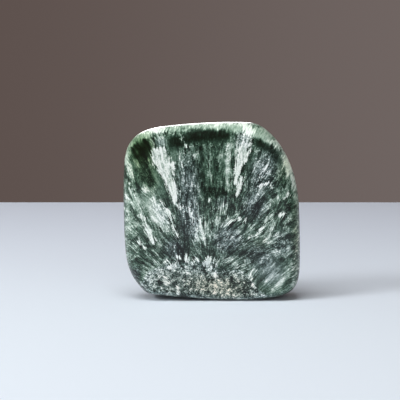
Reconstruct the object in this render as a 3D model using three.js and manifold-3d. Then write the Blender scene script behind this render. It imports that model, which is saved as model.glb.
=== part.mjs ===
// A polished seraphinite plate: one slab of feathery green clinochlore, sawn from the rough,
// ground to a soft rounded square with one corner cut back, and polished all over. It stands
// on a small flat ground along its lower edge.
//
// Millimetres, +Z up, the show face towards -Y. The origin is on the surface that the plate
// stands on, midway between its left and right sides and between its two faces.
import * as THREE from "three";
import { mergeVertices } from "three/addons/utils/BufferGeometryUtils.js";
import Module from "manifold-3d";

const wasm = await Module();
wasm.setup();

// Driving dimensions
const WIDTH = 60; // of the silhouette, along X
const HEIGHT = 60; // from the foot to the top edge, along Z
const FOOT_THICKNESS = 15; // between the faces, along Y, at the foot
const TOP_THICKNESS = 13; // and at the top: the slab tapers a little
const FACE_CROWN = 0.3; // how far the middle of each face stands proud of its border

// The edges are ground to quarter ellipses. Each reaches this far in from the silhouette.
const TOP_SHOULDER = 7.5;
const LEFT_SHOULDER = 6;
const RIGHT_SHOULDER = 4.5;
const FOOT_SHOULDER = 2.4;

// How finely the surface is divided
const FACE_RINGS = 12; // from the middle of a face to its border: 8 points more on each ring
const SHOULDER_STEPS = 9; // from that border to the silhouette
const SIDE_POINTS = 8 * FACE_RINGS; // round the silhouette
const CURVE_STEPS = 24; // points read from each stretch of the outline before it is spaced out

// The silhouette seen from the front, clockwise from the middle of the left side. Each knot has
// a place (across from the middle line in half widths, up from the foot in heights), the way
// that the outline runs there in degrees (0 right, 90 up), and the reach of the curve before
// and after it in millimetres. Its lowest stretch lies below 0, where the foot is ground flat.
const KNOTS = [
  { across: -0.998, up: 0.482, heading: 91, before: 13, after: 8 },
  { across: -0.99, up: 0.757, heading: 87, before: 6, after: 8.5 },
  { across: -0.517, up: 0.977, heading: 6, before: 10, after: 8 },
  { across: 0.4, up: 0.997, heading: -3, before: 9, after: 2.6 },
  { across: 0.64, up: 0.942, heading: -42, before: 3.4, after: 8 },
  { across: 0.983, up: 0.515, heading: -87, before: 11, after: 6 },
  { across: 0.997, up: 0.19, heading: -91, before: 6, after: 8 },
  { across: 0.65, up: 0.002, heading: -171, before: 8, after: 10 },
  { across: -0.683, up: 0.025, heading: 173, before: 13, after: 2.2 },
  { across: -0.84, up: 0.081, heading: 130, before: 2.4, after: 7 },
];
const FIRST_CORNER = 0.115; // share of the way round, from the first knot, to the top left corner

const MIDDLE = new THREE.Vector2(0, 0.49 * HEIGHT); // the point that the rings close on

const place = (knot) =>
  new THREE.Vector2((knot.across * WIDTH) / 2, knot.up * HEIGHT);

function reach(knot, distance) {
  const heading = THREE.MathUtils.degToRad(knot.heading);
  const way = new THREE.Vector2(Math.cos(heading), Math.sin(heading));
  return place(knot).addScaledVector(way, distance);
}

// The silhouette as one closed path, in the plane of X and Z.
function silhouette() {
  const path = new THREE.CurvePath();
  KNOTS.forEach((knot, i) => {
    const next = KNOTS[(i + 1) % KNOTS.length];
    const start = reach(knot, knot.after);
    const end = reach(next, -next.before);
    path.add(new THREE.CubicBezierCurve(place(knot), start, end, place(next)));
  });
  path.arcLengthDivisions = CURVE_STEPS * KNOTS.length;
  return path;
}

const outline = silhouette();

// What the surface needs to know a share of the way round the silhouette: the point there, how
// far its tangent line is from the middle, and how far in the ground shoulder reaches.
function rimAt(share) {
  const t = (share + FIRST_CORNER) % 1;
  const point = outline.getPointAt(t);
  const tangent = outline.getTangentAt(t);
  const outward = new THREE.Vector2(-tangent.y, tangent.x);
  const from = point.clone().sub(MIDDLE);
  const sideShoulder = outward.x > 0 ? RIGHT_SHOULDER : LEFT_SHOULDER;
  const endShoulder = outward.y > 0 ? TOP_SHOULDER : FOOT_SHOULDER;
  const shoulder = sideShoulder * outward.x ** 2 + endShoulder * outward.y ** 2;
  return { from, apart: from.dot(outward), shoulder };
}

const halfThickness = (z) =>
  THREE.MathUtils.mapLinear(z, 0, HEIGHT, FOOT_THICKNESS, TOP_THICKNESS) / 2;

// A point of the show face. ring runs from 0 in the middle to 1 at the face's border.
function facePoint(rim, ring) {
  const scale = ring * (1 - rim.shoulder / rim.apart);
  const at = MIDDLE.clone().addScaledVector(rim.from, scale);
  const crown = FACE_CROWN * (1 - ring ** 2) ** 2;
  return new THREE.Vector3(at.x, -halfThickness(at.y) - crown, at.y);
}

// A point of the shoulder. turn runs from 0 at the face's border to 1 at the silhouette.
function shoulderPoint(rim, turn) {
  const angle = (turn * Math.PI) / 2;
  const inset = rim.shoulder * (1 - Math.sin(angle));
  const at = MIDDLE.clone().addScaledVector(rim.from, 1 - inset / rim.apart);
  const depth = turn === 1 ? 0 : halfThickness(at.y) * Math.cos(angle);
  return new THREE.Vector3(at.x, -depth, at.y);
}

// How many points round its square ring column i and row j lie, clockwise from the ring's top
// left corner. A ring has eight points for each step that it lies out from the middle.
function pointOfRing(i, j, ring) {
  if (j === ring && i < ring) return i + ring;
  if (i === ring && j > -ring) return 2 * ring + (ring - j);
  if (j === -ring && i > -ring) return 4 * ring + (ring - i);
  return 6 * ring + (j + ring);
}

// The triangles of one half of the slab, from the middle of its face to the silhouette.
// The back is the front turned over: y changes sign, and each triangle is read backwards.
function halfSlab(isBack) {
  const corners = [];
  const addTriangle = (a, b, c) => {
    for (const p of isBack ? [a, c, b] : [a, b, c])
      corners.push(p.x, isBack ? -p.y : p.y, p.z);
  };
  const addQuad = (a, b, c, d) => {
    addTriangle(a, b, c);
    addTriangle(a, c, d);
  };
  const gridPoint = (i, j) => {
    const ring = Math.max(Math.abs(i), Math.abs(j));
    const share = ring ? pointOfRing(i, j, ring) / (8 * ring) : 0;
    return facePoint(rimAt(share), ring / FACE_RINGS);
  };
  for (let i = -FACE_RINGS; i < FACE_RINGS; i++)
    for (let j = -FACE_RINGS; j < FACE_RINGS; j++)
      addQuad(
        gridPoint(i, j),
        gridPoint(i + 1, j),
        gridPoint(i + 1, j + 1),
        gridPoint(i, j + 1),
      );
  for (let n = 0; n < SIDE_POINTS; n++) {
    const here = rimAt(n / SIDE_POINTS);
    const next = rimAt(((n + 1) % SIDE_POINTS) / SIDE_POINTS);
    for (let step = 0; step < SHOULDER_STEPS; step++) {
      const inner = step / SHOULDER_STEPS;
      const outer = (step + 1) / SHOULDER_STEPS;
      addQuad(
        shoulderPoint(here, inner),
        shoulderPoint(next, inner),
        shoulderPoint(next, outer),
        shoulderPoint(here, outer),
      );
    }
  }
  return corners;
}

// A closed geometry as a solid that can be cut.
function solidFrom(geometry) {
  const bare = new THREE.BufferGeometry();
  bare.setAttribute("position", geometry.getAttribute("position"));
  bare.setIndex(geometry.index);
  const merged = mergeVertices(bare, 1e-3);
  return new wasm.Manifold(
    new wasm.Mesh({
      numProp: 3,
      vertProperties: merged.getAttribute("position").array,
      triVerts: new Uint32Array(merged.index.array),
    }),
  );
}

function geometryFrom(solid) {
  const { vertProperties, triVerts } = solid.getMesh();
  const geometry = new THREE.BufferGeometry();
  geometry.setAttribute("position", new THREE.BufferAttribute(vertProperties, 3));
  geometry.setIndex(new THREE.BufferAttribute(triVerts, 1));
  geometry.computeVertexNormals();
  return geometry;
}

// The slab, ground flat where it goes below the surface that it stands on.
function plateGeometry() {
  const slab = new THREE.BufferGeometry();
  const corners = new Float32Array([...halfSlab(false), ...halfSlab(true)]);
  slab.setAttribute("position", new THREE.BufferAttribute(corners, 3));
  const grindingDepth = 4;
  const ground = new THREE.BoxGeometry(2 * WIDTH, 2 * FOOT_THICKNESS, grindingDepth);
  ground.translate(0, 0, -grindingDepth / 2);
  return geometryFrom(solidFrom(slab).subtract(solidFrom(ground)));
}

const polishedGreen = new THREE.MeshStandardMaterial({
  color: 0x687771,
  roughness: 0.15,
  metalness: 0,
});

const plate = new THREE.Mesh(plateGeometry(), polishedGreen);
plate.name = "seraphinite_plate";

const group = new THREE.Group();
group.add(plate);

export default group;
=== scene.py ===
"""A polished seraphinite plate on a pale table: fine surface, stone, camera and light.

The stone is dark green clinochlore. Sheaves of silvery flakes fan out through it from a point
near the foot of the show face, with speckled slate-grey patches between them, and they end in
a granular salt-and-pepper layer along the bottom. All of it is drawn by formula: the feathers
and patches are measured from listed places, and noise gives them their flakes and fibres.
The dark strip along the top shoulder is a painted reflection of the dark room, and the pale and
white edges are painted light. Sizes are in millimetres until the mesh is made.
"""
import math
from types import SimpleNamespace

import bpy
import numpy as np
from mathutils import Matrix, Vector, noise


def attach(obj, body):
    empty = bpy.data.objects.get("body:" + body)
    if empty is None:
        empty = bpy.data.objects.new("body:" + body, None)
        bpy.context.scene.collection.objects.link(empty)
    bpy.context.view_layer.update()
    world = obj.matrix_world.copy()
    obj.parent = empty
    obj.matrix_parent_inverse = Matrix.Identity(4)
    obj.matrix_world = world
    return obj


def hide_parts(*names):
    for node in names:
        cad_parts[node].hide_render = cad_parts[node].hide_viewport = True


MM = 0.001

# The slab's driving sizes, the same as the solid's
WIDTH = 60.0
HEIGHT = 60.0
FOOT_THICKNESS = 15.0
TOP_THICKNESS = 13.0
FACE_CROWN = 0.3
TOP_SHOULDER = 7.5
LEFT_SHOULDER = 6.0
RIGHT_SHOULDER = 4.5
FOOT_SHOULDER = 2.4
MIDDLE = np.array([0.0, 0.49 * HEIGHT])  # the point that the rings close on
FIRST_CORNER = 0.115  # share of the way round, from the first knot, to the top left corner

# The silhouette, clockwise from the middle of the left side: across in half widths, up in
# heights, heading in degrees, and the reach of the curve before and after in millimetres
KNOTS = [
    (-0.998, 0.482, 91, 13, 8),
    (-0.99, 0.757, 87, 6, 8.5),
    (-0.517, 0.977, 6, 10, 8),
    (0.4, 0.997, -3, 9, 2.6),
    (0.64, 0.942, -42, 3.4, 8),
    (0.983, 0.515, -87, 11, 6),
    (0.997, 0.19, -91, 6, 8),
    (0.65, 0.002, -171, 8, 10),
    (-0.683, 0.025, 173, 13, 2.2),
    (-0.84, 0.081, 130, 2.4, 7),
]

# How finely the surface is divided
FACE_RINGS = 88
SHOULDER_STEPS = 15
SIDE_POINTS = 8 * FACE_RINGS
TANGENT_REACH = 0.4  # the silhouette's heading is read this far to either side of a point

# Each polished face is very slightly uneven
WAVE_HEIGHT = 0.05
WAVE_LENGTH = 15.0

# The sheaves that the fibres lie in: the root's x and z, the tip's x and z, half the width
SHEAVES = [
    # Upper left, from the silver wedge outwards
    (-12.0, 31.0, -17.6, 58.0, 2.2),
    (-15.5, 33.0, -25.5, 53.0, 3.0),
    (-25.0, 36.0, -29.5, 52.0, 2.0),
    # Lower left
    (-13.0, 22.0, -22.5, 38.5, 3.2),
    (-19.5, 19.0, -28.0, 37.0, 2.8),
    (-24.0, 20.0, -31.0, 33.0, 2.6),
    (-16.0, 12.0, -28.0, 26.0, 3.0),
    # The middle
    (-8.5, 24.0, -9.0, 55.0, 3.2),
    (-1.5, 26.0, -0.5, 57.0, 3.6),
    (4.0, 28.0, 6.2, 57.0, 2.4),
    (7.5, 33.0, 12.5, 60.0, 2.4),
    # The foot of the fan
    (-3.0, 15.0, -9.0, 29.0, 2.2),
    (-10.0, 12.0, -10.5, 24.0, 1.8),
    (0.0, 14.0, 1.6, 27.0, 2.2),
    # Upper right
    (10.0, 31.0, 17.0, 54.0, 2.6),
    (12.5, 29.0, 22.5, 50.0, 3.0),
    (21.0, 24.0, 28.0, 42.0, 3.0),
    # Rays that lean right, from the highest to the lowest
    (3.0, 21.0, 19.0, 36.0, 2.6),
    (7.0, 17.0, 25.0, 31.0, 2.6),
    (9.0, 12.0, 28.0, 22.0, 2.8),
    (14.0, 2.0, 27.0, 16.0, 4.0),
]
SHEAF_TAPER = 0.5  # how wide a sheaf is at its root, against its width at the tip
SHEAF_OFFSET = 17.0  # how far apart two sheaves read the noise, so that they differ
RAGGED = 0.9  # how far the sheaves' borders wander
RAGGED_LENGTH = 2.2  # and within what length

# A point that is farther than this outside every streak counts as this far outside
FAR_OUTSIDE = -3.0

# Feathers and streaks: the root's x and z, the tip's x and z, and the width at each
SILVER_FEATHERS = [
    # The long wedge at upper left
    (-19.2, 49.9, -17.8, 46.6, 2.6, 3.6),
    (-16.4, 50.2, -16.0, 46.0, 2.4, 4.0),
    (-16.4, 47.0, -14.9, 42.0, 4.6, 3.6),
    (-14.7, 42.0, -13.2, 37.0, 3.4, 2.6),
    (-13.2, 37.0, -12.5, 33.6, 2.6, 1.0),
    (-12.6, 33.6, -12.3, 32.4, 1.0, 0.4),
    (-18.6, 46.6, -17.4, 42.0, 1.2, 0.5),
    (-13.2, 46.0, -13.4, 42.5, 0.8, 1.4),
    # A vein in the dark band
    (-10.8, 55.7, -8.5, 51.7, 0.0, 0.1),
    # The wedge at upper right and its two tips
    (11.0, 52.6, 10.2, 48.0, 1.8, 3.2),
    (12.8, 53.0, 11.6, 49.0, 0.9, 1.4),
    (10.0, 48.0, 8.8, 44.0, 3.0, 1.9),
    (8.9, 44.0, 8.0, 39.6, 2.0, 1.1),
    (10.0, 41.2, 9.0, 36.8, 1.2, 1.8),
    (9.0, 36.8, 8.5, 35.3, 1.6, 0.5),
    # The broad band at left
    (-19.6, 31.8, -18.7, 28.0, 0.9, 2.4),
    (-18.9, 27.6, -16.4, 27.4, 2.4, 1.6),
    (-17.3, 33.4, -15.1, 30.0, 0.4, 0.7),
    (-15.1, 30.0, -13.1, 25.0, 1.2, 0.7),
    (-13.1, 25.0, -11.8, 21.2, 0.7, 0.9),
    # The narrow band left of it
    (-24.4, 28.4, -22.9, 27.4, 1.6, 1.2),
    (-22.7, 25.8, -20.0, 20.0, 0.7, 1.7),
    (-25.0, 19.6, -22.8, 17.2, 0.8, 0.5),
    # Small ones in the middle of the fan
    (-11.1, 32.2, -10.7, 30.6, 0.6, 0.5),
    (-0.7, 34.0, -0.7, 33.4, 0.2, 0.2),
    # Rays that lean right
    (3.6, 24.8, 9.3, 27.7, 0.1, 0.5),
    (10.4, 25.6, 11.6, 27.0, 0.5, 0.4),
    (12.9, 20.6, 16.0, 22.2, 0.5, 0.9),
    (16.0, 22.2, 17.8, 25.4, 0.9, 0.3),
    (22.9, 28.4, 24.4, 29.2, 0.2, 0.6),
    (24.6, 34.1, 26.0, 35.8, 0.3, 0.6),
    # The patch and the crooked line in the slate at right
    (17.0, 41.8, 18.3, 45.0, 0.8, 1.3),
    (15.8, 38.3, 17.0, 39.1, 0.4, 0.3),
    (17.0, 38.9, 19.6, 39.4, 0.3, 0.5),
    (19.7, 39.4, 20.3, 38.0, 0.5, 0.3),
    # Lower right
    (13.5, 6.9, 13.4, 8.0, 0.9, 0.5),
    # Single flakes above and in the granular layer
    (-1.6, 11.6, -1.2, 13.6, 2.0, 1.4),
    (0.1, 10.8, 0.4, 10.6, 1.0, 0.8),
    (1.4, 13.0, 1.3, 11.6, 0.9, 0.9),
    (-5.8, 13.4, -4.9, 12.9, 0.9, 0.9),
    (-8.7, 15.0, -8.5, 12.8, 0.4, 0.7),
    (-11.5, 14.2, -11.0, 13.6, 0.9, 0.9),
    (-13.2, 11.8, -11.8, 12.4, 0.7, 0.5),
    (-14.7, 10.6, -13.6, 10.6, 1.0, 0.9),
    (-16.0, 12.4, -15.3, 12.9, 0.6, 0.5),
    (-11.6, 3.8, -11.5, 1.8, 0.5, 0.8),
    (-15.9, 6.6, -15.1, 5.2, 1.4, 1.4),
    (0.7, 8.2, 1.4, 7.8, 1.3, 1.1),
    (3.4, 6.3, 3.3, 5.4, 0.5, 0.5),
    (1.1, 4.4, 1.4, 3.9, 0.7, 0.7),
    (1.1, 2.1, 1.3, 1.5, 0.6, 0.6),
    (14.2, 4.5, 14.6, 3.8, 0.9, 0.7),
    (8.8, 11.2, 8.9, 10.5, 0.4, 0.5),
]
PALE_FEATHERS = [
    # Left and right of the upper left wedge
    (-20.6, 55.8, -20.4, 51.0, 1.4, 0.6),
    (-20.3, 55.0, -20.2, 47.0, 0.7, 0.7),
    (-21.7, 48.6, -21.0, 45.8, 0.5, 0.9),
    (-10.4, 51.5, -10.3, 45.6, 1.1, 1.0),
    (-7.0, 52.4, -5.4, 48.0, 1.6, 1.2),
    # Down the middle
    (-0.6, 53.2, -0.5, 49.0, 0.2, 0.2),
    (-0.6, 49.0, -0.7, 40.6, 0.6, 0.5),
    (3.1, 50.2, 2.3, 47.2, 0.7, 0.5),
    (1.9, 57.6, 1.9, 55.4, 0.4, 0.7),
    (6.7, 57.5, 6.4, 53.0, 0.7, 1.2),
    (6.1, 53.0, 5.4, 45.0, 1.8, 1.9),
    (5.4, 45.0, 5.6, 38.0, 1.3, 2.4),
    # Round the wedge at upper right
    (8.6, 52.4, 9.6, 51.0, 1.6, 2.4),
    (11.2, 55.4, 12.0, 53.0, 2.4, 2.6),
    (12.2, 48.6, 10.9, 39.0, 0.6, 0.9),
    (9.2, 55.0, 8.2, 48.0, 1.6, 0.9),
    # The broad band at left, and the ones beyond it
    (-23.4, 36.8, -22.2, 34.4, 1.6, 3.8),
    (-22.2, 34.4, -18.0, 28.4, 3.8, 5.4),
    (-17.2, 28.0, -15.8, 23.8, 5.0, 3.2),
    (-15.8, 23.8, -13.0, 21.2, 2.4, 0.8),
    (-27.9, 37.2, -26.0, 34.2, 1.4, 3.2),
    (-26.0, 34.2, -23.8, 28.4, 3.2, 2.4),
    (-23.8, 28.4, -20.0, 20.4, 1.8, 2.2),
    (-29.4, 35.0, -27.0, 25.6, 1.2, 2.6),
    (-29.2, 47.0, -27.2, 41.6, 1.8, 0.7),
    (-25.5, 47.6, -25.0, 46.6, 0.5, 0.6),
    # The foot of the fan
    (-7.8, 30.5, -4.6, 25.0, 1.2, 2.4),
    (-4.6, 25.0, -3.2, 20.6, 2.6, 3.4),
    (-1.6, 25.4, -1.7, 21.2, 1.0, 1.8),
    (1.2, 22.8, 1.0, 20.4, 1.4, 0.7),
    (2.6, 31.2, 2.6, 28.0, 0.6, 0.9),
    (2.6, 28.0, 1.9, 25.6, 0.9, 2.0),
    (4.8, 32.6, 4.7, 29.0, 0.7, 0.5),
    # Rays that lean right
    (4.4, 25.4, 8.6, 28.6, 1.6, 1.8),
    (8.6, 22.6, 10.2, 25.0, 1.4, 0.8),
    (18.0, 30.4, 22.2, 34.2, 2.2, 1.4),
    (13.2, 32.4, 16.6, 37.0, 1.4, 2.0),
    (18.8, 19.6, 19.9, 23.4, 1.6, 0.8),
    (19.9, 23.4, 21.0, 26.8, 0.8, 0.7),
    (25.0, 26.0, 26.6, 28.2, 0.8, 1.0),
    (26.0, 33.0, 27.0, 34.8, 0.7, 0.6),
    (20.6, 19.2, 22.4, 21.0, 1.6, 1.0),
    (18.2, 26.4, 20.4, 28.6, 1.4, 1.0),
    # Lower right
    (5.6, 13.4, 8.0, 11.8, 2.8, 1.8),
    (10.6, 11.2, 12.8, 12.6, 1.2, 0.7),
    (12.4, 6.6, 14.8, 9.6, 1.2, 0.9),
    (18.4, 5.6, 21.6, 8.6, 0.8, 1.6),
    (18.4, 9.8, 21.2, 11.0, 0.5, 0.8),
    (21.4, 2.8, 27.4, 10.4, 1.2, 1.6),
    (19.2, 15.0, 20.2, 12.2, 0.7, 0.4),
    (22.0, 15.6, 26.4, 16.4, 2.4, 2.6),
    (27.8, 4.6, 28.6, 9.6, 0.5, 0.6),
]
DARK_STREAKS = [
    # Between the bands at left
    (-25.4, 39.0, -22.8, 32.4, 1.3, 1.0),
    (-22.4, 31.4, -21.2, 27.8, 0.8, 0.7),
    (-27.4, 31.2, -24.6, 26.2, 0.9, 0.8),
    (-25.6, 24.6, -23.0, 20.6, 0.6, 0.9),
    (-21.4, 27.0, -18.2, 21.0, 0.9, 0.9),
    # The olive corner, darkened on its shoulder by painted dark reflection, and its trails
    (-24.4, 50.6, -22.6, 51.8, 4.2, 4.8),
    (-22.8, 52.0, -22.4, 48.6, 1.8, 1.6),
    (-23.6, 48.0, -20.4, 39.4, 2.6, 2.4),
    (-20.9, 50.0, -19.0, 43.0, 1.2, 0.7),
    (-25.6, 44.0, -22.4, 40.0, 1.0, 1.0),
    (-20.0, 41.0, -17.2, 35.6, 0.9, 0.5),
    # Beside and below the upper left wedge
    (-16.6, 34.4, -14.6, 32.6, 1.8, 2.0),
    (-12.4, 43.6, -11.9, 41.0, 0.5, 0.6),
    # Between the two wedges
    (-4.2, 51.0, -2.4, 40.0, 1.2, 0.8),
    (1.6, 51.0, 1.8, 43.0, 1.6, 1.2),
    (-3.0, 44.0, -3.2, 38.0, 0.8, 1.0),
    (3.6, 46.0, 3.9, 38.0, 0.8, 0.7),
    (7.0, 50.0, 7.4, 45.0, 0.5, 1.1),
    # Right of the upper right wedge, and painted dark reflection at the right end of the dark strip
    # along the top shoulder
    (13.4, 50.0, 10.8, 43.6, 0.8, 0.9),
    (7.8, 56.2, 7.9, 53.4, 1.8, 2.0),
    # Across the middle
    (-2.4, 37.4, 3.6, 36.6, 1.4, 1.6),
    (4.6, 35.6, 8.6, 34.2, 1.2, 2.0),
    (-2.2, 34.4, -2.0, 30.0, 1.2, 1.2),
    (6.4, 33.0, 7.4, 29.6, 1.4, 1.2),
    # The dark root of the fan
    (-11.2, 28.0, -10.6, 22.0, 1.0, 2.4),
    (-10.6, 22.0, -9.9, 15.4, 2.6, 2.0),
    (-9.9, 15.4, -9.6, 12.6, 1.6, 0.8),
    (-8.4, 28.6, -8.4, 22.0, 0.8, 1.2),
    (-13.8, 21.4, -12.6, 20.2, 0.7, 0.8),
    (-15.6, 16.6, -14.8, 15.6, 0.5, 0.7),
    (-1.8, 19.6, -1.2, 15.0, 1.2, 2.2),
    (-0.2, 18.6, 0.4, 15.2, 0.8, 1.2),
    (-3.9, 14.2, -3.7, 11.8, 0.5, 0.6),
    (-6.2, 10.6, -0.9, 10.6, 0.5, 0.8),
    (2.8, 25.2, 3.0, 23.2, 1.0, 0.9),
    (1.4, 19.4, 2.6, 20.6, 0.8, 0.8),
    # Rays that lean right
    (6.6, 25.6, 12.0, 28.4, 0.8, 1.2),
    (13.4, 26.0, 15.2, 31.0, 1.2, 3.2),
    (15.4, 30.0, 17.8, 34.4, 1.8, 1.0),
    (22.4, 23.6, 24.4, 27.4, 1.0, 1.4),
    (25.6, 29.6, 27.2, 36.0, 1.4, 1.6),
    (20.8, 31.2, 23.4, 33.0, 1.2, 1.4),
    (20.0, 36.6, 21.6, 35.8, 1.6, 1.4),
    (14.6, 20.6, 15.8, 20.6, 0.5, 0.6),
    (24.4, 20.0, 26.8, 21.2, 1.4, 1.6),
    (10.6, 22.0, 11.6, 24.6, 1.0, 1.2),
    # Lower right
    (6.2, 15.6, 9.4, 14.6, 1.6, 1.6),
    (9.8, 15.8, 14.4, 14.2, 1.6, 2.4),
    (22.0, 13.2, 25.4, 13.0, 0.9, 1.2),
    (24.8, 3.4, 27.6, 8.4, 1.8, 2.4),
    (15.6, 4.4, 17.0, 6.4, 1.2, 1.0),
    # The cut-back corner: painted dark reflection along its shoulder
    (15.2, 54.0, 19.6, 51.0, 1.6, 2.2),
    (19.6, 51.0, 23.2, 46.4, 2.4, 1.6),
    # Pits in the granular layer
    (-17.8, 6.0, -17.0, 5.4, 0.9, 1.0),
    (7.0, 5.8, 8.2, 5.4, 0.9, 0.7),
    (4.8, 9.2, 5.2, 8.6, 1.0, 1.0),
    (9.0, 3.0, 10.6, 3.4, 0.9, 1.0),
    (-14.0, 8.4, -13.2, 7.6, 0.8, 1.4),
    (-24.6, 9.6, -25.2, 7.4, 2.0, 1.8),
]

# Painted dark reflection: a near-black strip along the top shoulder and its corners, where the
# polish mirrors the dark room, painted into the stone's colour
PAINTED_DARK_REFLECTION = [
    (-25.4, 50.6, -23.8, 51.4, 3.2, 3.6),
    (-25.0, 49.4, -23.0, 49.2, 2.8, 2.4),
    (-12.8, 53.5, -11.6, 53.5, 3.4, 3.6),
    (-13.3, 52.4, -10.9, 52.4, 1.8, 1.8),
    (-8.8, 54.5, -5.0, 55.3, 3.2, 4.0),
    (-5.0, 55.3, 0.0, 55.8, 4.0, 4.2),
    (0.0, 55.8, 4.4, 55.8, 4.2, 3.6),
    (15.4, 52.9, 18.2, 51.9, 1.0, 1.8),
]

# Painted highlight: a white line along the top edge and down the upper right edge, where the polish
# catches the light
PAINTED_HIGHLIGHT_EDGE = [
    (-23.2, 56.4, -21.0, 57.2, 0.8, 1.2),
    (-21.0, 57.0, -16.8, 57.2, 1.8, 2.2),
    (-16.6, 58.5, -9.0, 59.3, 0.9, 1.3),
    (-9.0, 59.3, 5.0, 59.6, 1.5, 1.6),
    (5.0, 59.5, 11.0, 59.2, 1.0, 1.6),
    (11.4, 58.2, 12.8, 56.8, 2.4, 2.0),
    (20.2, 53.8, 22.4, 51.8, 1.4, 1.2),
    (24.5, 48.2, 26.3, 44.4, 1.4, 1.8),
    (26.3, 44.4, 28.3, 38.0, 1.6, 0.9),
]
# Painted light: a pale green along the upper left, top and upper right edges, where the light from
# above and the side falls on them; the stone's fibres still show in it
PAINTED_LIT_EDGES = [
    (-29.2, 46.6, -28.4, 51.4, 1.2, 1.4),
    (-28.4, 51.4, -25.8, 54.8, 1.4, 1.4),
    (-25.8, 54.4, -22.0, 56.2, 2.4, 2.2),
    (-16.0, 57.2, -10.4, 57.9, 1.6, 1.2),
    (-10.4, 58.0, -6.0, 58.3, 1.2, 1.4),
    (-6.0, 58.3, 6.0, 58.5, 1.6, 1.6),
    (5.8, 58.1, 11.0, 57.9, 2.6, 2.4),
    (14.8, 56.9, 18.0, 55.8, 3.4, 3.6),
    (18.6, 55.4, 22.8, 51.6, 3.4, 1.6),
    (24.3, 48.8, 27.2, 41.4, 1.6, 1.6),
    (27.4, 41.4, 28.8, 32.0, 1.4, 0.8),
]

# Soft zones: the centre's x and z, the reach along x and z, a turn in degrees, the strength.
# The calm ones are where the stone is one smooth green, with few flakes in it.
CALM_ZONES = [
    # The left side
    (-17.2, 53.4, 2.4, 1.6, 0, 0.6),
    (-22.8, 50.8, 4.2, 4.0, 0, 0.8),
    (-12.8, 48.8, 2.0, 3.2, 0, 1.0),
    (-26.6, 45.0, 1.6, 3.6, 0, 0.5),
    (-21.4, 44.0, 3.0, 5.0, -20, 0.5),
    (-17.0, 38.6, 1.8, 4.6, -20, 0.9),
    (-25.8, 33.4, 1.8, 5.0, -30, 0.5),
    (-19.4, 31.0, 2.6, 6.0, -33, 0.5),
    (-28.4, 28.0, 1.6, 9.0, 0, 0.4),
    # The middle
    (0.6, 55.4, 6.0, 2.2, 0, 0.6),
    (0.4, 45.0, 4.6, 8.0, 0, 0.5),
    (5.4, 45.0, 1.4, 7.0, 4, 0.4),
    # The right side
    (22.0, 48.6, 2.4, 3.4, -20, 0.7),
    (23.6, 46.6, 1.6, 2.0, 0, 0.6),
    (12.9, 45.0, 1.4, 4.6, 12, 0.8),
    (28.6, 30.0, 1.6, 7.0, 0, 0.5),
    (21.2, 8.0, 7.0, 7.0, 0, 1.0),
]

# Speckled slate grey instead of green
SLATE_ZONES = [
    (-17.6, 53.0, 2.4, 2.0, 0, 0.8),
    (-8.0, 38.0, 4.2, 11.0, 0, 1.0),
    (-17.0, 29.0, 2.0, 5.0, -30, 0.5),
    (-7.5, 26.0, 3.6, 6.0, 0, 1.0),
    (-12.6, 17.0, 3.4, 3.4, 0, 0.9),
    (-26.2, 8.0, 1.6, 3.0, 20, 0.8),
    (2.0, 14.0, 30.0, 15.0, 0, 0.35),
    (3.6, 33.0, 3.0, 2.4, 0, 0.5),
    (5.6, 20.4, 4.6, 4.4, 0, 1.0),
    (10.6, 54.0, 2.8, 3.0, 0, 0.8),
    (17.5, 43.0, 5.4, 9.0, 20, 1.0),
    (14.5, 31.0, 4.6, 4.6, 0, 0.9),
    (24.4, 18.6, 3.6, 5.0, 0, 0.6),
    (16.0, 15.0, 5.0, 3.4, 0, 0.6),
    (20.0, 9.0, 5.0, 5.0, 0, 0.7),
]

# A yellower green
OLIVE_ZONES = [
    (-23.4, 50.6, 4.4, 4.6, 0, 1.0),
    (-21.8, 43.0, 3.2, 6.0, -18, 0.5),
    (-26.0, 44.0, 2.6, 5.0, 0, 0.2),
    (24.0, 44.0, 2.6, 5.0, 20, 0.3),
    (28.6, 24.0, 1.4, 8.0, 0, 0.4),
]

# A tan stain in the granular layer and right of the middle, and a tan tint along the right edge
TAN_ZONES = [
    (-13.0, 5.0, 7.0, 5.0, 0, 0.4),
    (-3.6, 4.8, 5.0, 3.6, 0, 0.7),
    (6.0, 3.6, 8.5, 4.2, 0, 1.0),
    (16.6, 19.0, 2.0, 1.6, 0, 0.4),
    (28.8, 16.0, 1.2, 8.0, 0, 0.6),
]

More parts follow.
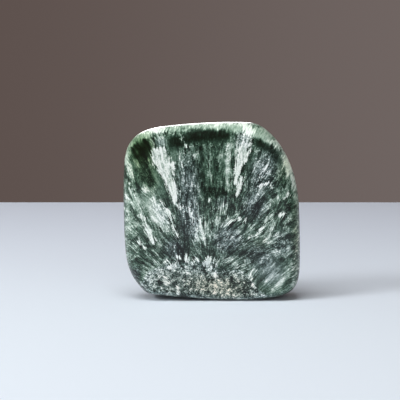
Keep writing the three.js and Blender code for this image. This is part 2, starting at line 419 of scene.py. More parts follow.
# Lighter than elsewhere, or darker where the strength is below 0. Each group runs downwards.
LIGHT_ZONES = [
    # The left side
    (-17.2, 53.4, 2.4, 1.6, 0, 0.06),
    # These two darken the top left corner's shoulder: painted dark reflection
    (-25.4, 53.2, 2.0, 2.0, 0, -0.14),
    (-24.6, 51.0, 3.0, 3.4, -30, -0.45),
    # Painted light along the upper left edge
    (-28.4, 48.0, 1.8, 6.0, 0, 0.16),
    (-21.6, 47.0, 2.4, 3.6, -20, -0.14),
    (-20.6, 46.6, 1.0, 2.6, -15, 0.14),
    (-19.6, 45.0, 1.6, 3.0, -20, 0.10),
    (-25.6, 44.0, 2.4, 3.4, 0, 0.08),
    (-18.4, 39.8, 1.6, 5.0, -15, 0.18),
    (-26.2, 34.6, 1.6, 3.4, -33, 0.14),
    (-20.4, 31.4, 3.0, 6.0, -33, 0.14),
    # Painted light along the left edge
    (-29.4, 30.0, 1.2, 14.0, 0, 0.10),
    (-18.4, 28.0, 3.4, 4.0, -30, 0.06),
    (-27.4, 27.0, 1.6, 3.0, 0, -0.12),
    (-25.0, 26.5, 1.6, 3.6, 0, 0.12),
    (-16.4, 25.0, 1.6, 1.6, 0, -0.14),
    (-25.6, 24.4, 1.4, 2.0, 0, 0.14),
    (-12.4, 22.4, 2.6, 1.8, 30, -0.16),
    (-18.6, 22.0, 2.8, 1.8, 0, 0.16),
    (-22.0, 21.0, 3.0, 3.0, 0, 0.08),
    (-28.6, 17.0, 1.0, 2.2, 0, 0.18),
    (-22.0, 14.0, 5.0, 4.0, 0, -0.03),
    (-18.0, 9.4, 6.0, 4.0, 0, 0.12),
    (-27.2, 9.2, 2.0, 2.8, 0, -0.18),
    (-21.0, 8.4, 3.0, 2.6, 0, 0.08),
    (-12.8, 6.0, 2.4, 1.6, 20, -0.18),
    (-19.0, 5.2, 2.0, 1.6, 0, 0.12),
    (-22.6, 3.4, 4.0, 2.4, -30, -0.16),
    # The middle, from the top down. The first is painted light along the top edge.
    (-1.0, 58.6, 9.0, 1.2, 0, 0.16),
    (-15.6, 52.6, 1.4, 2.0, 0, 0.14),
    (-2.0, 51.6, 3.4, 1.8, 0, -0.10),
    (8.6, 51.5, 2.4, 2.8, 0, 0.22),
    (-8.8, 51.4, 2.0, 2.2, 0, -0.16),
    (7.6, 48.6, 1.8, 2.6, 0, 0.16),
    (-12.8, 48.4, 1.6, 2.6, 0, 0.10),
    (-0.6, 48.4, 3.0, 3.4, 0, -0.12),
    (-6.6, 45.6, 2.2, 4.0, 0, -0.14),
    (4.0, 45.4, 2.0, 3.4, 0, 0.26),
    (-2.6, 45.0, 1.4, 3.0, 0, 0.12),
    (2.0, 44.0, 5.0, 9.0, 0, -0.08),
    (-9.2, 41.4, 1.8, 3.4, 0, 0.16),
    (-12.6, 40.8, 1.0, 1.4, 0, 0.12),
    (-15.2, 38.6, 1.8, 3.0, 0, -0.18),
    (5.6, 38.0, 1.6, 1.8, 0, 0.12),
    (-8.0, 37.0, 4.0, 9.0, 0, 0.04),
    (2.0, 36.6, 6.0, 1.8, 0, -0.10),
    (-12.4, 33.0, 1.6, 2.2, 0, -0.20),
    (8.8, 33.0, 1.8, 2.4, 0, -0.12),
    (8.4, 28.0, 3.0, 3.0, 0, -0.14),
    (4.8, 24.4, 2.0, 1.2, 0, -0.16),
    (-3.0, 23.6, 3.6, 5.0, 0, 0.11),
    (0.4, 23.2, 1.8, 2.4, 0, -0.22),
    (-10.4, 22.0, 2.8, 4.0, 0, -0.16),
    (-2.6, 21.6, 1.6, 2.6, 0, 0.12),
    (5.6, 20.4, 3.6, 3.2, 0, 0.08),
    (5.6, 20.2, 1.8, 1.8, 0, -0.16),
    (8.6, 19.4, 2.4, 1.4, 0, 0.10),
    (-10.0, 17.4, 2.4, 5.4, 0, -0.40),
    (2.0, 16.8, 1.2, 2.2, 0, 0.14),
    (-13.0, 15.8, 1.8, 2.0, 0, -0.22),
    (12.0, 13.2, 1.8, 1.4, 0, -0.14),
    (-4.6, 12.6, 1.6, 3.0, 0, -0.14),
    (3.4, 8.0, 4.0, 2.4, 0, -0.20),
    (-1.2, 7.8, 1.8, 1.8, 0, 0.20),
    (-7.4, 7.4, 3.6, 1.4, 25, 0.14),
    (10.6, 3.4, 3.0, 2.4, 0, -0.10),
    (4.0, 3.0, 3.0, 1.8, 0, 0.20),
    (-9.4, 3.0, 3.2, 2.4, 0, -0.32),
    # The right side
    (21.8, 48.8, 2.2, 3.2, -20, -0.06),
    (23.6, 47.6, 2.4, 4.0, -20, 0.18),
    (17.4, 46.0, 2.8, 4.0, 0, 0.16),
    (25.4, 45.6, 1.6, 3.0, -20, 0.12),
    (11.4, 45.6, 1.0, 4.0, 30, -0.08),
    (9.6, 45.0, 1.8, 2.8, 0, -0.18),
    (12.9, 45.0, 1.4, 4.0, 10, -0.12),
    (14.4, 45.0, 2.0, 2.6, 0, 0.10),
    (27.0, 39.6, 1.8, 4.0, 0, 0.24),
    (19.0, 39.4, 5.0, 1.8, 0, -0.12),
    (27.4, 36.0, 1.4, 4.0, 0, 0.10),
    (16.0, 34.4, 6.0, 3.4, 0, -0.05),
    (20.0, 28.6, 1.6, 1.4, 0, -0.10),
    (22.0, 28.4, 3.0, 1.8, 0, -0.14),
    (26.4, 28.0, 2.4, 3.4, 0, -0.08),
    (10.6, 27.4, 2.2, 1.8, 0, -0.20),
    (17.6, 26.4, 1.4, 3.0, 0, -0.08),
    # Painted light along the right edge
    (29.0, 24.0, 1.0, 10.0, 0, 0.06),
    (14.6, 21.6, 2.6, 2.0, 0, 0.16),
    (20.4, 21.4, 3.0, 2.2, 0, 0.09),
    (21.0, 18.4, 2.4, 1.2, 0, 0.10),
    (27.2, 15.4, 2.0, 2.2, 0, -0.12),
    (13.5, 15.0, 3.5, 2.4, 0, -0.08),
    (14.6, 13.6, 1.2, 1.4, 0, 0.10),
    (19.0, 11.6, 1.6, 1.2, 0, -0.10),
    (27.8, 10.0, 2.0, 4.4, 0, 0.22),
    (21.0, 8.0, 5.5, 4.5, 0, 0.12),
    (23.4, 4.8, 2.0, 2.8, 0, 0.22),
    (13.2, 4.0, 1.4, 1.4, 0, -0.20),
]

# The upper edge of the granular layer, from left to right: x and z
GRAIN_EDGE = [
    (-30.0, 2.0), (-25.0, 4.0), (-21.5, 10.0), (-16.0, 12.8), (-9.0, 13.6), (0.0, 13.0),
    (4.5, 10.6), (10.0, 9.4), (14.0, 6.4), (17.0, 2.4), (22.0, 0.6), (30.0, 0.0),
]
GRAIN_BLEND = 1.6  # how softly the layer begins

# Soft zones above it, in which the fibres crumble
CRUMBLED_ZONES = [
    (6.4, 19.0, 4.4, 3.4, 0, 2.2),
    (24.0, 17.4, 4.0, 5.0, 0, 2.2),
    (12.4, 13.0, 4.4, 3.0, 0, 2.0),
    (-13.6, 16.4, 2.4, 3.0, 0, 1.6),
    (-4.6, 17.0, 2.0, 2.4, 0, 1.4),
    (17.6, 46.0, 3.4, 4.4, 0, 1.6),
    (12.2, 53.6, 2.6, 2.2, 0, 2.0),
    (-8.4, 33.0, 3.0, 6.0, 0, 1.4),
    (19.6, 9.4, 5.0, 5.0, 0, 2.1),
]

# The places above are on the plane midway between the faces. The sheaves run from there to the
# show face along lines towards this point, and to the back face away from it.
EYE = (-12.0, -447.0, 72.0)

# The vector noise starts from this seed, so that the stone is the same each time
NOISE_SEED = 5

# How the pattern drifts through the slab, from the show face to the back
DRIFT = 7.0
DRIFT_LENGTH = 26.0
DRIFT_FADE = 1.3
DRIFT_EASE = 1.5  # the higher, the later it sets in
# The painted dark reflection on the top shoulder shrinks towards the back face
PAINTED_REFLECTION_FADE = 4.0  # how far the dark band has shrunk at the back


def outline_path(steps=60):
    """The silhouette's points, closed to a loop, and the length along it up to each."""
    points = []
    for i, knot in enumerate(KNOTS):
        following = KNOTS[(i + 1) % len(KNOTS)]
        start = np.array([knot[0] * WIDTH / 2, knot[1] * HEIGHT])
        end = np.array([following[0] * WIDTH / 2, following[1] * HEIGHT])
        leave = math.radians(knot[2])
        arrive = math.radians(following[2])
        first = start + knot[4] * np.array([math.cos(leave), math.sin(leave)])
        second = end - following[3] * np.array([math.cos(arrive), math.sin(arrive)])
        t = np.linspace(0, 1, steps, endpoint=False)[:, None]
        s = 1 - t
        points.append(s**3 * start + 3 * s * s * t * first + 3 * s * t * t * second + t**3 * end)
    points = np.concatenate(points)
    closed = np.vstack([points, points[:1]])
    lengths = np.hypot(*np.diff(closed, axis=0).T)
    return closed, np.concatenate([[0], np.cumsum(lengths)])


OUTLINE, OUTLINE_LENGTH = outline_path()


def outline_at(length):
    """The silhouette's points at the given lengths along it."""
    around = np.mod(length, OUTLINE_LENGTH[-1])
    x = np.interp(around, OUTLINE_LENGTH, OUTLINE[:, 0])
    z = np.interp(around, OUTLINE_LENGTH, OUTLINE[:, 1])
    return np.stack([x, z], axis=-1)


def rim_at(share):
    """The silhouette seen from the middle, its tangent's distance and the shoulder's reach."""
    length = (share + FIRST_CORNER) * OUTLINE_LENGTH[-1]
    point = outline_at(length)
    along = outline_at(length + TANGENT_REACH) - outline_at(length - TANGENT_REACH)
    along /= np.hypot(along[:, 0], along[:, 1])[:, None]
    outward = np.stack([-along[:, 1], along[:, 0]], axis=-1)
    away = point - MIDDLE
    side = np.where(outward[:, 0] > 0, RIGHT_SHOULDER, LEFT_SHOULDER)
    end = np.where(outward[:, 1] > 0, TOP_SHOULDER, FOOT_SHOULDER)
    shoulder = side * outward[:, 0] ** 2 + end * outward[:, 1] ** 2
    return away, np.sum(away * outward, axis=-1), shoulder


def half_thickness(z):
    """Half the distance between the faces at a height."""
    return (FOOT_THICKNESS + (TOP_THICKNESS - FOOT_THICKNESS) * z / HEIGHT) / 2


def waves(points):
    """A slight unevenness of the polish, one height for each point."""
    heights = np.empty(len(points))
    for i, point in enumerate(points):
        heights[i] = noise.noise(Vector(point) / WAVE_LENGTH)
    return WAVE_HEIGHT * heights


def face_grid():
    """The show face as a square grid of points, ring by ring round its middle."""
    size = 2 * FACE_RINGS + 1
    grid = np.zeros((size, size, 3))
    grid[FACE_RINGS, FACE_RINGS] = (MIDDLE[0], -half_thickness(MIDDLE[1]) - FACE_CROWN, MIDDLE[1])
    for ring in range(1, FACE_RINGS + 1):
        step = np.arange(8 * ring)
        away, apart, shoulder = rim_at(step / (8 * ring))
        outness = ring / FACE_RINGS
        at = MIDDLE + away * (outness * (1 - shoulder / apart))[:, None]
        crown = FACE_CROWN * (1 - outness**2) ** 2
        side, along = np.divmod(step, 2 * ring)
        i = np.choose(side, [along - ring, ring + 0 * along, ring - along, -ring + 0 * along])
        j = np.choose(side, [ring + 0 * along, ring - along, -ring + 0 * along, along - ring])
        depth = -half_thickness(at[:, 1]) - crown
        grid[i + FACE_RINGS, j + FACE_RINGS] = np.stack([at[:, 0], depth, at[:, 1]], axis=-1)
    return grid


def shoulder_rings():
    """The rings of the front shoulder, from just outside the face to the silhouette."""
    away, apart, shoulder = rim_at(np.arange(SIDE_POINTS) / SIDE_POINTS)
    rings = []
    for step in range(1, SHOULDER_STEPS + 1):
        angle = step / SHOULDER_STEPS * math.pi / 2
        inset = shoulder * (1 - math.sin(angle))
        at = MIDDLE + away * (1 - inset / apart)[:, None]
        depth = -half_thickness(at[:, 1]) * math.cos(angle)
        rings.append(np.stack([at[:, 0], depth, at[:, 1]], axis=-1))
    return rings


def border_indices():
    """The grid's border points in the order in which a ring runs."""
    size = 2 * FACE_RINGS + 1
    index = np.arange(size * size).reshape(size, size)
    return np.concatenate([index[:-1, -1], index[-1, :0:-1], index[:0:-1, 0], index[0, :-1]])


def plate_mesh():
    """The whole slab: points in millimetres and four-sided faces."""
    grid = face_grid()
    size = grid.shape[0]
    front = grid.reshape(-1, 3)
    rings = shoulder_rings()
    back = front * (1, -1, 1)
    back_rings = [ring * (1, -1, 1) for ring in rings[-2::-1]]
    points = np.vstack([front, *rings, *back_rings, back])
    points[:, 1] += waves(points) * np.sign(points[:, 1])
    points[:, 2] = np.maximum(points[:, 2], 0)

    index = np.arange(size * size).reshape(size, size)
    cells = np.stack([index[:-1, :-1], index[1:, :-1], index[1:, 1:], index[:-1, 1:]], axis=-1)
    cells = cells.reshape(-1, 4)
    border = border_indices()
    back_start = len(points) - len(back)
    loops = [border]
    for n in range(len(rings) + len(back_rings)):
        loops.append(len(front) + n * SIDE_POINTS + np.arange(SIDE_POINTS))
    loops.append(back_start + border)
    bands = []
    for inner, outer in zip(loops, loops[1:]):
        following = np.roll(inner, -1)
        bands.append(np.stack([inner, following, np.roll(outer, -1), outer], axis=-1))
    return points, np.vstack([cells, *bands, back_start + cells[:, ::-1]])


def streaks(x, z, rows):
    """How far each point lies inside the nearest streak, in mm, and below 0 outside them all."""
    inside = np.full(len(x), FAR_OUTSIDE)
    for x0, z0, x1, z1, root_width, tip_width in rows:
        run = (x1 - x0, z1 - z0)
        reach = (x - x0) * run[0] + (z - z0) * run[1]
        t = np.clip(reach / (run[0] ** 2 + run[1] ** 2), 0, 1)
        away = np.hypot(x - x0 - t * run[0], z - z0 - t * run[1])
        half_width = (root_width + (tip_width - root_width) * t) / 2
        inside = np.maximum(inside, half_width - away)
    return inside


def zones(x, z, rows):
    """The summed strength of soft-edged oval zones."""
    total = np.zeros(len(x))
    for x0, z0, reach_x, reach_z, turn, strength in rows:
        c, s = math.cos(math.radians(turn)), math.sin(math.radians(turn))
        u = ((x - x0) * c - (z - z0) * s) / reach_x
        v = ((x - x0) * s + (z - z0) * c) / reach_z
        total += strength * np.exp(-((u * u + v * v) ** 1.5))
    return total


def noise_field(points, length):
    """A smooth random vector at each point, about -1 to 1 each way, varying over this length."""
    values = np.empty((len(points), 3))
    for i, point in enumerate(points):
        values[i] = noise.noise_vector(Vector(point) / length)
    return values


def fibre_places(x, z, wander):
    """How far each point lies across and along the sheaf that it belongs to."""
    nearest = np.full(len(x), np.inf)
    across = np.zeros(len(x))
    along = np.zeros(len(x))
    for n, (x0, z0, x1, z1, half_width) in enumerate(SHEAVES):
        length = math.hypot(x1 - x0, z1 - z0)
        right = ((z1 - z0) / length, (x0 - x1) / length)
        u = (x - x0) * right[0] + (z - z0) * right[1]
        v = (z - z0) * right[0] - (x - x0) * right[1]
        outside = v - np.clip(v, 0, length)
        away = np.hypot(u + wander[:, 0], outside + wander[:, 2]) - half_width
        taper = SHEAF_TAPER + (1 - SHEAF_TAPER) * np.clip(v / length, -0.4, 1.4)
        ours = away < nearest
        nearest = np.where(ours, away, nearest)
        across = np.where(ours, u / taper + SHEAF_OFFSET * n, across)
        along = np.where(ours, v, along)
    return across, along


def pattern(points):
    """The stone's fields at each point: where the feathers, patches and fibres lie."""
    noise.seed_set(NOISE_SEED)
    x, y, z = points.T
    depth = np.clip(y / FOOT_THICKNESS + 0.5, 0, 1) ** DRIFT_EASE
    drift = noise_field(points, DRIFT_LENGTH)
    carried = EYE[1] / (EYE[1] - y)
    x = EYE[0] + (x - EYE[0]) * carried
    z = EYE[2] + (z - EYE[2]) * carried
    x = x + DRIFT * depth * drift[:, 0]
    z = z + DRIFT * depth * drift[:, 2]
    fade = DRIFT_FADE * depth * drift[:, 1]
    across, along = fibre_places(x, z, RAGGED * noise_field(points, RAGGED_LENGTH))
    edge = np.interp(x, *np.transpose(GRAIN_EDGE))
    return {
        "silver": streaks(x, z, SILVER_FEATHERS) + fade,
        "pale": streaks(x, z, PALE_FEATHERS) + fade,
        "dark": streaks(x, z, DARK_STREAKS) - fade,
        # The next three are painted: dark reflection on the top shoulder, a white highlight along
        # the top and light on the edges
        "painted_reflection": streaks(x, z, PAINTED_DARK_REFLECTION) - PAINTED_REFLECTION_FADE * depth,
        "painted_highlight": streaks(x, z, PAINTED_HIGHLIGHT_EDGE),
        "painted_lit_edge": streaks(x, z, PAINTED_LIT_EDGES),
        "slate": zones(x, z, SLATE_ZONES),
        "olive": zones(x, z, OLIVE_ZONES),
        "tan": zones(x, z, TAN_ZONES),
        "light": zones(x, z, LIGHT_ZONES),
        "calm": zones(x, z, CALM_ZONES),
        "grain": np.clip((edge - z) / GRAIN_BLEND, -2, 2) + zones(x, z, CRUMBLED_ZONES),
        "across": across,
        "along": along,
    }


class Signal:
    """A node's output that is added, multiplied and compared like a number."""

    def __init__(self, tree, socket):
        self.tree = tree
        self.socket = socket

    def math(self, operation, *others):
        node = self.tree.nodes.new("ShaderNodeMath")
        node.operation = operation
        for slot, value in zip(node.inputs, (self, *others)):
            plug(self.tree, slot, value)
        return Signal(self.tree, node.outputs[0])

    def __add__(self, other):
        return self.math("ADD", other)

    def __sub__(self, other):
        return self.math("SUBTRACT", other)

    def __mul__(self, other):
        return self.math("MULTIPLY", other)

    def towards(self, other, amount):
        """The signal moved towards another as far as the amount says."""
        return self + (other - self) * amount

    def spread(self, low, high, to_low=0.0, to_high=1.0):
        """The signal moved from one range to another and held inside it."""
        node = self.tree.nodes.new("ShaderNodeMapRange")
        node.interpolation_type = "SMOOTHSTEP"
        plug(self.tree, node.inputs["Value"], self)
        for name, value in zip(
            ("From Min", "From Max", "To Min", "To Max"), (low, high, to_low, to_high)
        ):
            node.inputs[name].default_value = value
        return Signal(self.tree, node.outputs["Result"])


def plug(tree, slot, value):
    """Links a signal to a node's input, or sets the input to a number or colour."""
    if isinstance(value, Signal):
        tree.links.new(value.socket, slot)
    else:
        slot.default_value = value


def field(tree, name):
    """One of the mesh's own fields."""
    node = tree.nodes.new("ShaderNodeAttribute")
    node.attribute_name = name
    return Signal(tree, node.outputs["Fac"])


def vector(tree, x, y, z):
    node = tree.nodes.new("ShaderNodeCombineXYZ")
    for slot, value in zip(node.inputs, (x, y, z)):
        plug(tree, slot, value)
    return Signal(tree, node.outputs[0])


def place(tree):
    """The place in the stone, in millimetres: x, y and z."""
    coordinates = tree.nodes.new("ShaderNodeTexCoord")
    parts = tree.nodes.new("ShaderNodeSeparateXYZ")
    tree.links.new(coordinates.outputs["Object"], parts.inputs[0])
    return [Signal(tree, output) * (1 / MM) for output in parts.outputs]


def clouds(tree, where, scale, detail=3.0, roughness=0.6):
    """Noise from 0 to 1, mostly near a half."""
    node = tree.nodes.new("ShaderNodeTexNoise")
    plug(tree, node.inputs["Vector"], where)
    node.inputs["Scale"].default_value = scale
    node.inputs["Detail"].default_value = detail
    node.inputs["Roughness"].default_value = roughness
    return Signal(tree, node.outputs["Fac"])


def crystals(tree, where, scale):
    """Cells, each with its own random shade from 0 to 1."""
    node = tree.nodes.new("ShaderNodeTexVoronoi")
    plug(tree, node.inputs["Vector"], where)
    node.inputs["Scale"].default_value = scale
    parts = tree.nodes.new("ShaderNodeSeparateColor")
    tree.links.new(node.outputs["Color"], parts.inputs[0])
    return Signal(tree, parts.outputs[0])


def ramp(tree, signal, stops):
    """The colour that the stops give for the signal."""
    node = tree.nodes.new("ShaderNodeValToRGB")
    plug(tree, node.inputs[0], signal)
    elements = node.color_ramp.elements
    while len(elements) < len(stops):
        elements.new(0.5)
    for element, (position, colour) in zip(elements, stops):
        element.position = position
        element.color = (*colour, 1)
    return Signal(tree, node.outputs[0])


def blended(tree, colour, other, amount, kind="MIX"):
    """The colour moved towards another, or multiplied by it, as far as the amount says."""
    node = tree.nodes.new("ShaderNodeMix")
    node.data_type = "RGBA"
    node.blend_type = kind
    plug(tree, node.inputs["Factor"], amount)
    plug(tree, node.inputs[6], colour)
    plug(tree, node.inputs[7], other)
    return Signal(tree, node.outputs[2])


# The stone's colours from its darkest to its whitest flakes, in the green and in the slate
GREEN_COLOURS = [
    (0.00, (0.003, 0.006, 0.003)),
    (0.15, (0.011, 0.027, 0.016)),
    (0.35, (0.046, 0.099, 0.066)),
    (0.55, (0.165, 0.265, 0.200)),
    (0.75, (0.450, 0.560, 0.485)),
    (1.00, (0.940, 1.000, 0.950)),
]
SLATE_COLOURS = [
    (0.00, (0.004, 0.006, 0.006)),
    (0.15, (0.012, 0.022, 0.019)),
    (0.35, (0.053, 0.084, 0.078)),
    (0.55, (0.172, 0.236, 0.227)),
    (0.75, (0.445, 0.535, 0.525)),
    (1.00, (0.950, 0.995, 0.980)),
]
# Tints. The first greens the painted light on the edges; the others make the stone more olive and
# more tan.
PAINTED_LIT_EDGE_TINT = (0.95, 1.02, 0.96, 1)
OLIVE_TINT = (1.0, 1.0, 0.66, 1)
TAN_TINT = (0.98, 0.88, 0.77, 1)

FLAKE_RELIEF = 0.1  # how high the flakes stand in the polish, in millimetres


def stone_noises(tree):
    """The noises that shade the stone. Threads and slivers run from 0 to 1, the rest round 0."""
    x, y, z = place(tree)
    solid = vector(tree, x, y, z)
    along = field(tree, "along")
    across = field(tree, "across") + (clouds(tree, solid, 0.12, 1.0) - 0.5) * 3.0

    # Some run with the fibres, stretched along them
    for_strokes = vector(tree, across, along * 0.3, y * 0.3)
    for_fibres = vector(tree, across, along * 0.15, y * 0.3)
    for_chips = vector(tree, across, along * 0.4, y * 0.5)
    for_threads = vector(tree, across, along * 0.45, y * 0.4)

    # Threads and slivers follow the contours of a noise. The threads break off here and there.
    contour = clouds(tree, for_threads, 0.8, 1.0) - 0.5
    unbroken = clouds(tree, solid, 0.45, 1.0).spread(0.46, 0.58)
    curl = clouds(tree, solid, 0.75, 1.0) - 0.5
    return SimpleNamespace(
        strokes=clouds(tree, for_strokes, 0.5, 2.0, 0.5) - 0.5,
        fibres=clouds(tree, for_fibres, 2.0, 2.0, 0.6) - 0.5,
        chips=crystals(tree, for_chips, 1.9) - 0.5,
        threads=contour.math("ABSOLUTE").spread(0.0, 0.035, 1.0, 0.0) * unbroken,
        slivers=curl.math("ABSOLUTE").spread(0.0, 0.06, 1.0, 0.0),
        specks=crystals(tree, solid, 2.6) - 0.5,
        grains=crystals(tree, solid, 1.4) - 0.5,
        lumps=crystals(tree, solid, 0.8) - 0.5,
        flakes=clouds(tree, solid, 0.6, 2.0, 0.6) - 0.5,
        clumps=clouds(tree, solid, 0.3, 2.0, 0.5) - 0.5,
    )


def stone_cover(tree, noises):
    """How far each feature covers the stone, from 0 to 1, its border frayed by the noises."""
    streaked = noises.fibres * 2.2 + noises.strokes * 1.8
    ragged = streaked + noises.chips * 0.4 + noises.specks * 0.2
    frayed = (noises.fibres + noises.strokes) * 5.0 + noises.flakes * 3.0
    fringe = noises.fibres * 2.4 + noises.strokes * 2.0
    return SimpleNamespace(
        silver=(field(tree, "silver") + ragged).spread(-0.4, 0.2),
        pale=(field(tree, "pale") + ragged).spread(-0.9, 0.7),
        dark=(field(tree, "dark") + ragged).spread(-0.9, 0.8),
        # The next three are painted: dark reflection on the top shoulder, light on the edges and a
        # white highlight along the top
        painted_reflection=(field(tree, "painted_reflection") + frayed).spread(-0.9, 0.6),
        painted_lit_edge=(field(tree, "painted_lit_edge") + fringe).spread(-1.0, 0.6),
        painted_highlight=(field(tree, "painted_highlight") + fringe).spread(-0.6, 0.5),
        grain=(field(tree, "grain") + noises.clumps * 3.0).spread(-0.5, 0.8),
    )


def fibrous_shade(tree, noises, cover):
    """How light the fibrous stone is, from 0 to 1."""
    texture = noises.strokes * 1.2 + noises.fibres * 1.3 + noises.flakes * 0.6
    glints = (noises.chips * 0.4 + noises.specks).spread(0.42, 0.6)
    flecks = noises.chips * 0.24 + noises.specks * 0.30 + glints * 0.16
    texture = texture + flecks * (field(tree, "slate") * 0.4 + 0.8) + noises.threads * 0.26
    base = field(tree, "light") + 0.33 + cover.pale * 0.28 - cover.dark * 0.22
    return base.math("MAXIMUM", 0.10) + texture * (field(tree, "calm") * -0.6 + 1.0)


def granular_shade(tree, noises, cover):
    """How light the granular stone is, from 0 to 1."""
    texture = noises.grains * 0.42 + noises.specks * 0.50 + noises.lumps * 0.22
    texture = texture + noises.flakes * 0.8 + noises.clumps * 1.1
    texture = texture + noises.threads * 0.2 + noises.slivers * 0.4
    base = field(tree, "light") + 0.40 - cover.dark * 0.3
    return base + texture * (field(tree, "calm") * -0.6 + 1.0)


def stone_shade(tree, noises, cover):
    """How light the stone is, from 0 to 1, with all its features, the painted dark reflection on
    the top shoulder and the painted light and highlight on the edges.
    """
    streaked = noises.fibres + noises.strokes + noises.flakes
    # The pale green of the painted light on the edges
    painted_lit_edge = noises.fibres * 0.7 + noises.strokes * 0.4 + field(tree, "light") * 0.5 + 0.68
    silver = noises.fibres + noises.strokes * 0.9
    silver = silver + noises.chips * 0.20 + noises.specks * 0.22 + 0.93
    # The white of the painted highlight along the top
    painted_highlight = noises.fibres * 0.8 + noises.strokes * 0.5 + 0.90

    shade = fibrous_shade(tree, noises, cover)
    shade = shade.towards(granular_shade(tree, noises, cover), cover.grain * 0.9)
    # Painted dark reflection on the top shoulder
    shade = shade * (cover.painted_reflection * -0.86 + 1.0) + streaked * cover.painted_reflection * 0.4
    # Painted light on the edges
    shade = shade.towards(painted_lit_edge, cover.painted_lit_edge)
    shade = shade.towards(silver, cover.silver)
    # Painted highlight along the top
    return shade.towards(painted_highlight, cover.painted_highlight)


def stone_colour(tree, noises, cover):
    """The stone's colour, from its shade and its stains."""
    shade = stone_shade(tree, noises, cover)
    green = ramp(tree, shade, GREEN_COLOURS)
    slate = ramp(tree, shade, SLATE_COLOURS)
    greyness = field(tree, "slate").math("MAXIMUM", cover.grain * 0.8)
    oliveness = field(tree, "olive") * (cover.silver * -1.0 + 1.0)
    colour = blended(tree, green, slate, greyness)
    # The green of the painted light on the edges
    colour = blended(tree, colour, PAINTED_LIT_EDGE_TINT, cover.painted_lit_edge, "MULTIPLY")
    colour = blended(tree, colour, OLIVE_TINT, oliveness, "MULTIPLY")
    return blended(tree, colour, TAN_TINT, field(tree, "tan"), "MULTIPLY")


def stone_material():
    """Polished stone: a clear coat of polish over the shaded mineral, flakes just felt in it."""
    material = bpy.data.materials.new("polished_seraphinite")
    material.use_nodes = True
    tree = material.node_tree
    shader = tree.nodes["Principled BSDF"]
    noises = stone_noises(tree)
    cover = stone_cover(tree, noises)
    plug(tree, shader.inputs["Base Color"], stone_colour(tree, noises, cover))
    plug(tree, shader.inputs["Metallic"], cover.silver * 0.1 + 0.05)
    plug(tree, shader.inputs["Roughness"], noises.flakes * 0.2 + 0.36)
    shader.inputs["Specular IOR Level"].default_value = 0.2
    shader.inputs["Coat Weight"].default_value = 0.5
    shader.inputs["Coat Roughness"].default_value = 0.04

    bump = tree.nodes.new("ShaderNodeBump")
    bump.inputs["Strength"].default_value = 0.35
    bump.inputs["Distance"].default_value = FLAKE_RELIEF * MM
    plug(tree, bump.inputs["Height"], noises.flakes + noises.chips * 0.3)
    tree.links.new(bump.outputs[0], shader.inputs["Normal"])
    return material


def add_plate():
    """The plate's mesh with the pattern's fields on it, standing for the plain solid."""
    points, faces = plate_mesh()
    mesh = bpy.data.meshes.new("polished_plate")
    mesh.from_pydata((points * MM).tolist(), [], faces.tolist())
    mesh.polygons.foreach_set("use_smooth", [True] * len(mesh.polygons))
    for name, values in pattern(points).items():
        attribute = mesh.attributes.new(name, "FLOAT", "POINT")
        attribute.data.foreach_set("value", values.astype(np.float32))
    mesh.materials.append(stone_material())
    plate = bpy.data.objects.new("polished_plate", mesh)
    bpy.context.scene.collection.objects.link(plate)
    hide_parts("seraphinite_plate")
    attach(plate, "root")


# The table, seen slightly from above, and the room beyond it
TABLE_BEHIND = 280.0
TABLE_FRONT = 600.0
TABLE_SIDE = 450.0
# Painted shade: the table's colour darkens slightly towards the back, where less light falls
TABLE_BLEND = (-80.0, 260.0)  # where its colour turns from the near one to the far one
TABLE_NEAR = (0.70, 0.775, 0.85)
TABLE_FAR_SHADED = (0.675, 0.74, 0.84)
ROOM_LEFT = (0.110, 0.082, 0.074)
ROOM_RIGHT = (0.160, 0.130, 0.122)


def add_table():
    corners = [
        (-TABLE_SIDE, -TABLE_FRONT, 0),
        (TABLE_SIDE, -TABLE_FRONT, 0),
        (TABLE_SIDE, TABLE_BEHIND, 0),
        (-TABLE_SIDE, TABLE_BEHIND, 0),
    ]
    mesh = bpy.data.meshes.new("table")
    mesh.from_pydata([[c * MM for c in corner] for corner in corners], [], [(0, 1, 2, 3)])
    material = bpy.data.materials.new("table_top")
    material.use_nodes = True
    tree = material.node_tree
    shader = tree.nodes["Principled BSDF"]
    # Painted shade, a little darker towards the back
    farness = place(tree)[1].spread(*TABLE_BLEND)
    colour = ramp(tree, farness, [(0.0, TABLE_NEAR), (1.0, TABLE_FAR_SHADED)])
    plug(tree, shader.inputs["Base Color"], colour)
    shader.inputs["Roughness"].default_value = 0.9
    shader.inputs["Specular IOR Level"].default_value = 0.0
    mesh.materials.append(material)
    table = bpy.data.objects.new("table", mesh)
    bpy.context.scene.collection.objects.link(table)


def light_room():
    """The room's wall, a little lighter to the right, which also lights the plate softly."""
    world = bpy.data.worlds.new("room")
    world.use_nodes = True
    tree = world.node_tree
    direction = tree.nodes.new("ShaderNodeTexCoord")
    parts = tree.nodes.new("ShaderNodeSeparateXYZ")
    tree.links.new(direction.outputs["Generated"], parts.inputs[0])
    across = Signal(tree, parts.outputs[0]).spread(-0.2, 0.2)
    wall = ramp(tree, across, [(0.0, ROOM_LEFT), (1.0, ROOM_RIGHT)])
    plug(tree, tree.nodes["Background"].inputs["Color"], wall)
    bpy.context.scene.world = world


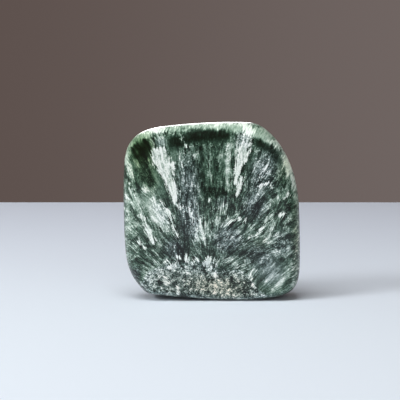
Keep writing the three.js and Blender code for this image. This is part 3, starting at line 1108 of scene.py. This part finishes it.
def add_light(name, position, target, width, depth, power, mirrored=True, lighting=True):
    """A soft rectangular lamp. Position and target are in millimetres, power in watts.

    It is mirrored in the polish, or lights the stone without that, or is only mirrored.
    """
    lamp = bpy.data.lights.new(name, "AREA")
    lamp.shape = "RECTANGLE"
    lamp.size = width * MM
    lamp.size_y = depth * MM
    lamp.energy = power
    holder = bpy.data.objects.new(name, lamp)
    holder.location = Vector(position) * MM
    towards = (Vector(target) - Vector(position)).normalized()
    holder.rotation_euler = towards.to_track_quat("-Z", "Y").to_euler()
    holder.visible_glossy = mirrored
    holder.visible_diffuse = lighting
    bpy.context.scene.collection.objects.link(holder)


def light_plate():
    """Soft lamps above, on the left and in front, and one behind that only glints in the polish."""
    add_light("overhead", (-140, -160, 620), (-140, -160, 0), 460, 340, 2.9, mirrored=False)
    add_light("left", (-1216, -640, 896), (0, 0, 0), 480, 480, 12.3, mirrored=False)
    add_light("front", (0, -1700, 760), (0, 0, 30), 3200, 1400, 9.4, mirrored=False)
    add_light("behind", (-90, 900, 420), (-90, 0, 60), 400, 400, 3.6, lighting=False)


# The camera looks slightly down on the plate, which sits a little right of and below the centre
CAMERA_DISTANCE = 450.0
CAMERA_ELEVATION = 7.0
CAMERA_AIM = (-4.1, 0.0, 33.5)
CAMERA_LENS = 119.4


def add_camera():
    camera = bpy.data.cameras.new("camera")
    camera.lens = CAMERA_LENS
    camera.sensor_width = 36
    camera.clip_start = 0.01
    holder = bpy.data.objects.new("camera", camera)
    elevation = math.radians(CAMERA_ELEVATION)
    back = CAMERA_DISTANCE * math.cos(elevation)
    up = CAMERA_DISTANCE * math.sin(elevation) + HEIGHT / 2
    position = Vector((CAMERA_AIM[0], -back, up))
    holder.location = position * MM
    towards = (Vector(CAMERA_AIM) - position).normalized()
    holder.rotation_euler = towards.to_track_quat("-Z", "Y").to_euler()
    bpy.context.scene.collection.objects.link(holder)
    bpy.context.scene.camera = holder


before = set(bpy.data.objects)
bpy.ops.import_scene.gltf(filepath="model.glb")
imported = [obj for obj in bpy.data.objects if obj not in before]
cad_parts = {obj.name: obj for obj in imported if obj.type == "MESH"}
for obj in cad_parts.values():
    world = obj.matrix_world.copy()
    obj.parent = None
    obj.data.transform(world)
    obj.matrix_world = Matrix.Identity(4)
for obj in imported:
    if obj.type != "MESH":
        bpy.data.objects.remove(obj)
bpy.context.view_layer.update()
add_camera()
add_table()
light_room()
light_plate()
add_plate()
bpy.context.scene.view_settings.view_transform = "Standard"
